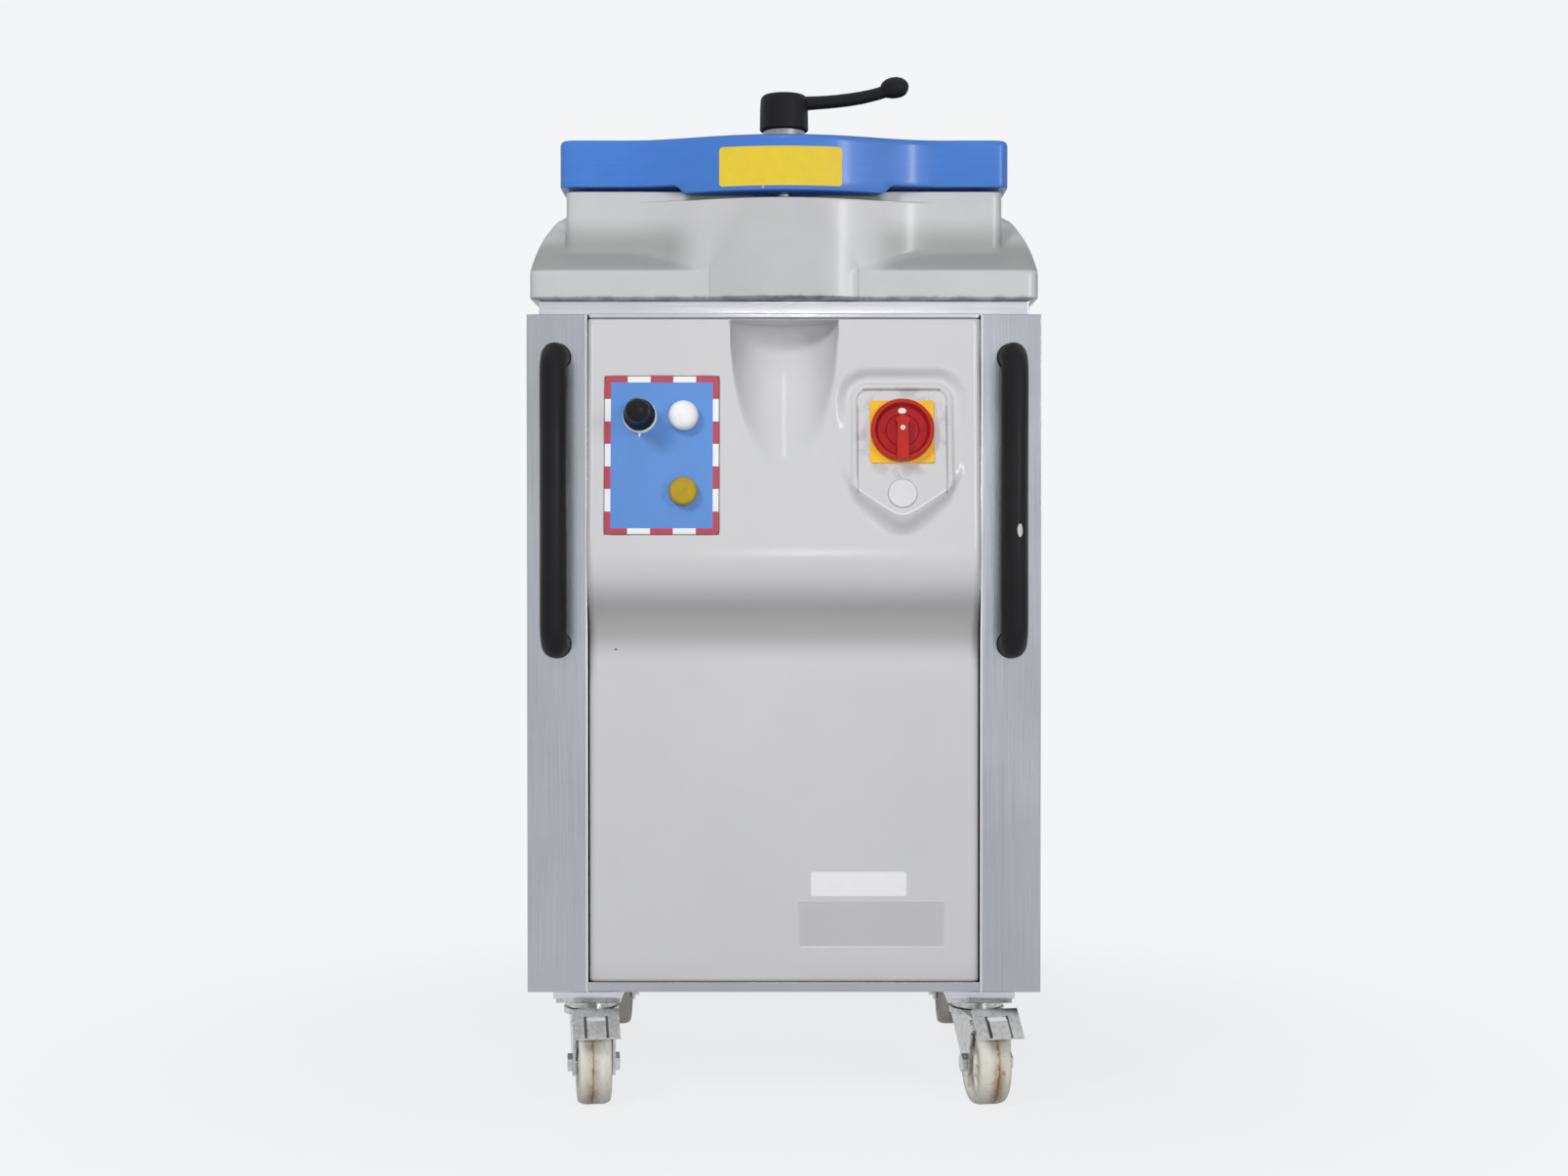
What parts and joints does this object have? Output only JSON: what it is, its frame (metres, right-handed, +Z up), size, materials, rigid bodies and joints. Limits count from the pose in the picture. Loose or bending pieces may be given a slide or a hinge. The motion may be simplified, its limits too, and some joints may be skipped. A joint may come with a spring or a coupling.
{
  "type": "dough divider",
  "caption": "Hydraulic dough divider on casters: a stand with a moulded front carries a cast pan with a hinged, clamped lid, press pads and rising knives.",
  "frame": {"origin": "on the floor, midway between the four caster swivel axes", "axes": "+Z up, front of the machine towards -Y, +X to the right of someone facing it"},
  "size_m": [0.548, 0.6809, 1.1064],
  "materials": {
    "brushed_steel": "brushed",
    "grey_panel": "moulded, satin",
    "grey_casting": "painted casting",
    "blue_casting": "gloss paint",
    "black_tube": "powder coat",
    "black_plastic": "moulded",
    "blue_plate": "printed sheet",
    "white_plastic": "gloss",
    "yellow_plastic": "satin",
    "red_plastic": "gloss",
    "bright_steel": "ground",
    "grey_steel": "primed",
    "dark_paint": "painted",
    "zinc": "zinc plate",
    "nylon": "moulded"
  },
  "bodies": {
    "base": {"left_front_post": "brushed_steel", "right_front_post": "brushed_steel", "front_bottom_rail": "brushed_steel", "left_side_panel": "brushed_steel", "right_side_panel": "brushed_steel", "rear_panel": "brushed_steel", "base_tray": "grey_steel", "caster_pads": "brushed_steel", "front_panel": "grey_panel", "top_deck": "brushed_steel", "housing": "grey_casting", "dough_pan": "brushed_steel", "hinge_pins": "bright_steel", "keeper_plate": "bright_steel", "handles": "black_tube", "control_plate": "blue_plate", "control_bezels": "white_plastic", "contact_blocks": "black_plastic", "switch_plate": "yellow_plastic", "switch_body": "black_plastic", "blanking_plug": "grey_panel", "cable_gland": "black_plastic", "oil_tank": "dark_paint", "pump_motor": "dark_paint", "gear_pump": "grey_steel", "valve_block": "grey_steel", "press_cylinder": "dark_paint", "knife_cylinders": "dark_paint", "bridge_plate": "grey_steel", "guide_columns": "bright_steel", "electrical_box": "dark_paint", "caster_plates": "zinc"},
    "lid": {"lid_casting": "blue_casting", "lid_plate": "white_plastic", "lock_collar": "bright_steel"},
    "lock": {"lock_lever": "black_plastic", "lock_shaft": "bright_steel"},
    "press": {"press_table": "grey_steel", "press_pillars": "bright_steel", "press_pads": "white_plastic", "press_rod": "bright_steel"},
    "knives": {"knife_blades": "bright_steel", "knife_carrier": "grey_steel", "knife_posts": "bright_steel", "crosshead": "grey_steel", "knife_rods": "bright_steel"},
    "joystick": {"joystick": "black_plastic"},
    "white_button": {"white_button": "white_plastic"},
    "yellow_button": {"yellow_button": "yellow_plastic"},
    "switch_knob": {"switch_knob": "red_plastic"},
    "front_left_fork": {"front_left_fork": "zinc"},
    "front_left_wheel": {"front_left_wheel": "nylon"},
    "left_brake_pedal": {"left_brake_pedal": "zinc"},
    "front_right_fork": {"front_right_fork": "zinc"},
    "front_right_wheel": {"front_right_wheel": "nylon"},
    "right_brake_pedal": {"right_brake_pedal": "zinc"},
    "rear_left_fork": {"rear_left_fork": "zinc"},
    "rear_left_wheel": {"rear_left_wheel": "nylon"},
    "rear_right_fork": {"rear_right_fork": "zinc"},
    "rear_right_wheel": {"rear_right_wheel": "nylon"}
  },
  "joints": [
    {"name": "lid_hinge", "type": "hinge", "parent": "base", "child": "lid", "pos_m": [0, 0.25, 1.012], "axis": [-1, 0, 0], "range_deg": [0, 80]},
    {"name": "lock_turn", "type": "hinge", "parent": "lid", "child": "lock", "pos_m": [0, -0.27, 1.0385], "axis": [0, 0, -1], "range_deg": [0, 90]},
    {"name": "press_lift", "type": "slide", "parent": "base", "child": "press", "axis": [0, 0, 1], "range_m": [0, 0.108]},
    {"name": "knife_lift", "type": "slide", "parent": "base", "child": "knives", "axis": [0, 0, 1], "range_m": [0, 0.108]},
    {"name": "joystick_tilt", "type": "hinge", "parent": "base", "child": "joystick", "pos_m": [-0.15175, -0.3171, 0.74019], "axis": [1, 0, 0], "range_deg": [-15, 15], "stiffness_Nm_per_rad": 2},
    {"name": "white_press", "type": "slide", "parent": "base", "child": "white_button", "axis": [0, 0.9962, -0.0872], "range_m": [0, 0.0035], "stiffness_N_per_m": 1000},
    {"name": "yellow_press", "type": "slide", "parent": "base", "child": "yellow_button", "axis": [0, 0.9962, -0.0872], "range_m": [0, 0.0035], "stiffness_N_per_m": 1000},
    {"name": "switch_turn", "type": "hinge", "parent": "base", "child": "switch_knob", "pos_m": [0.1245, -0.31417, 0.724], "axis": [0, 0.9781, -0.2079], "range_deg": [0, 90]},
    {"name": "front_left_swivel", "type": "hinge", "parent": "base", "child": "front_left_fork", "pos_m": [-0.212, -0.215, 0.098], "axis": [0, 0, 1], "continuous": true},
    {"name": "front_left_roll", "type": "hinge", "parent": "front_left_fork", "child": "front_left_wheel", "pos_m": [-0.20643, -0.25461, 0.045], "axis": [0.9903, 0.1392, 0], "continuous": true},
    {"name": "left_brake", "type": "hinge", "parent": "front_left_fork", "child": "left_brake_pedal", "pos_m": [-0.20309, -0.27838, 0.0925], "axis": [0.9903, 0.1392, 0], "range_deg": [0, 20]},
    {"name": "front_right_swivel", "type": "hinge", "parent": "base", "child": "front_right_fork", "pos_m": [0.212, -0.215, 0.098], "axis": [0, 0, 1], "continuous": true},
    {"name": "front_right_roll", "type": "hinge", "parent": "front_right_fork", "child": "front_right_wheel", "pos_m": [0.21895, -0.25439, 0.045], "axis": [0.9848, 0.1736, 0], "continuous": true},
    {"name": "right_brake", "type": "hinge", "parent": "front_right_fork", "child": "right_brake_pedal", "pos_m": [0.22311, -0.27803, 0.0925], "axis": [0.9848, 0.1736, 0], "range_deg": [0, 20]},
    {"name": "rear_left_swivel", "type": "hinge", "parent": "base", "child": "rear_left_fork", "pos_m": [-0.212, 0.215, 0.098], "axis": [0, 0, 1], "continuous": true},
    {"name": "rear_left_roll", "type": "hinge", "parent": "rear_left_fork", "child": "rear_left_wheel", "pos_m": [-0.212, 0.175, 0.045], "axis": [1, 0, 0], "continuous": true},
    {"name": "rear_right_swivel", "type": "hinge", "parent": "base", "child": "rear_right_fork", "pos_m": [0.212, 0.215, 0.098], "axis": [0, 0, 1], "continuous": true},
    {"name": "rear_right_roll", "type": "hinge", "parent": "rear_right_fork", "child": "rear_right_wheel", "pos_m": [0.212, 0.175, 0.045], "axis": [1, 0, 0], "continuous": true}
  ]
}
